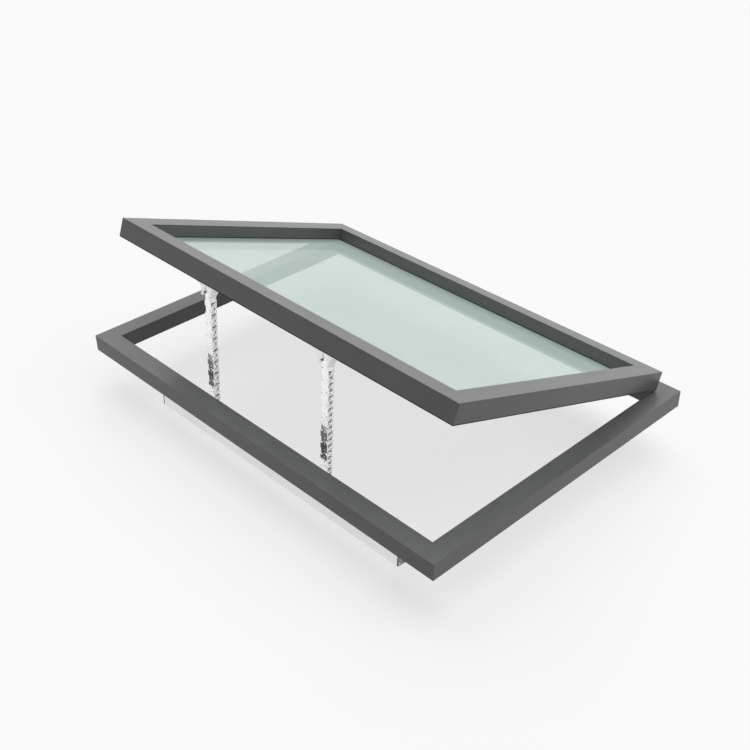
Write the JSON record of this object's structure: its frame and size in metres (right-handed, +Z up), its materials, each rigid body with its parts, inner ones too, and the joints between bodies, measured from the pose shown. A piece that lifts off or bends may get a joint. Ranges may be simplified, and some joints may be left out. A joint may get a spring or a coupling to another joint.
{
  "type": "opening roof skylight",
  "caption": "Roof skylight standing open: a glazed sash hinged along a long side of a flat frame and pushed up at the front by rigid chains from an electric opener.",
  "frame": {"origin": "centre of the base frame's underside, the face that lies on the roof kerb", "axes": "+Z up from the roof, +X along the hinge side, -Y towards the side that opens"},
  "size_m": [1.2, 0.856, 0.4637],
  "materials": {
    "frame_paint": "satin powder coat, anthracite grey",
    "hinge_paint": "satin powder coat, anthracite grey",
    "glass": "laminated, with a faintly green milky tint",
    "seal_rubber": "matt black",
    "block_plastic": "moulded",
    "casing_metal": "extruded, clear anodised",
    "cap_plastic": "moulded, light grey",
    "bracket_metal": "cast, satin bright",
    "bright_steel": "zinc plated",
    "chain_steel": "polished and nickel plated",
    "cleat_metal": "mill finish",
    "guide_plastic": "moulded, self-lubricating",
    "motor_steel": "drawn can, zinc plated",
    "board": "lacquered circuit board"
  },
  "bodies": {
    "base": {"base_rail_front": "frame_paint", "base_rail_back": "frame_paint", "base_rail_left": "frame_paint", "base_rail_right": "frame_paint", "base_corner_cleats": "cleat_metal", "fixing_inserts": "bright_steel", "base_screws": "bright_steel", "hinge_base_leaf_left": "hinge_paint", "hinge_base_leaf_right": "hinge_paint", "hinge_pin_left": "bright_steel", "hinge_pin_right": "bright_steel", "opener_bracket_left": "bracket_metal", "opener_bracket_right": "bracket_metal", "swivel_pin_left": "bright_steel", "swivel_pin_right": "bright_steel"},
    "sash": {"sash_rail_front": "frame_paint", "sash_rail_back": "frame_paint", "sash_rail_left": "frame_paint", "sash_rail_right": "frame_paint", "glazing_bead_front": "frame_paint", "glazing_bead_back": "frame_paint", "glazing_bead_left": "frame_paint", "glazing_bead_right": "frame_paint", "sash_corner_cleats": "cleat_metal", "glass_pane": "glass", "glazing_tape": "seal_rubber", "bead_gasket": "seal_rubber", "setting_blocks": "block_plastic", "sash_seal": "seal_rubber", "sash_screws": "bright_steel", "hinge_sash_leaf_left": "hinge_paint", "hinge_sash_leaf_right": "hinge_paint", "sash_bracket_left": "bracket_metal", "sash_bracket_right": "bracket_metal", "bracket_pin_left": "bright_steel", "bracket_pin_right": "bright_steel"},
    "opener": {"opener_housing": "casing_metal", "opener_lid": "casing_metal", "control_board": "board", "cable_gland": "cap_plastic", "opener_end_cap_left": "cap_plastic", "opener_end_cap_right": "cap_plastic", "chain_guide_left": "guide_plastic", "chain_guide_right": "guide_plastic", "gearmotor_left": "motor_steel", "gearmotor_right": "motor_steel", "chain_left_tail": "chain_steel", "chain_right_tail": "chain_steel"},
    "sprocket_left": {"sprocket_left": "chain_steel"},
    "chain_left": {"chain_left_end": "chain_steel", "chain_left_head": "chain_steel", "chain_left_run": "chain_steel"},
    "sprocket_right": {"sprocket_right": "chain_steel"},
    "chain_right": {"chain_right_end": "chain_steel", "chain_right_head": "chain_steel", "chain_right_run": "chain_steel"}
  },
  "joints": [
    {"name": "sash_hinge", "type": "hinge", "parent": "base", "child": "sash", "pos_m": [0, 0.3929, 0.0489], "axis": [-1, 0, 0], "range_deg": [-20.1, 0], "deforming": ["chain_left_run", "chain_right_run", "chain_left_tail", "chain_right_tail"]},
    {"name": "opener_swivel", "type": "hinge", "parent": "base", "child": "opener", "pos_m": [0, -0.3435, -0.069], "axis": [-1, 0, 0], "range_deg": [-14.7, 0.1]},
    {"name": "chain_left_pivot", "type": "hinge", "parent": "sash", "child": "chain_left", "pos_m": [0, -0.32371, 0.29315], "axis": [-1, 0, 0], "range_deg": [-0.1, 5.6]},
    {"name": "sprocket_left_turn", "type": "hinge", "parent": "opener", "child": "sprocket_left", "pos_m": [-0.19571, -0.3435, -0.069], "axis": [0, 0.9985, -0.0546], "range_deg": [-819, 5]},
    {"name": "chain_right_pivot", "type": "hinge", "parent": "sash", "child": "chain_right", "pos_m": [0, -0.32371, 0.29315], "axis": [-1, 0, 0], "range_deg": [-0.1, 5.6]},
    {"name": "sprocket_right_turn", "type": "hinge", "parent": "opener", "child": "sprocket_right", "pos_m": [0.21029, -0.3435, -0.069], "axis": [0, 0.9985, -0.0546], "range_deg": [-819, 5]}
  ],
  "couplings": [
    {"joint": "opener_swivel", "follows": "sash_hinge", "ratio": 0.72645},
    {"joint": "chain_left_pivot", "follows": "sash_hinge", "ratio": -0.27355},
    {"joint": "sprocket_left_turn", "follows": "sash_hinge", "ratio": 40.454},
    {"joint": "chain_right_pivot", "follows": "sash_hinge", "ratio": -0.27355},
    {"joint": "sprocket_right_turn", "follows": "sash_hinge", "ratio": 40.454}
  ]
}
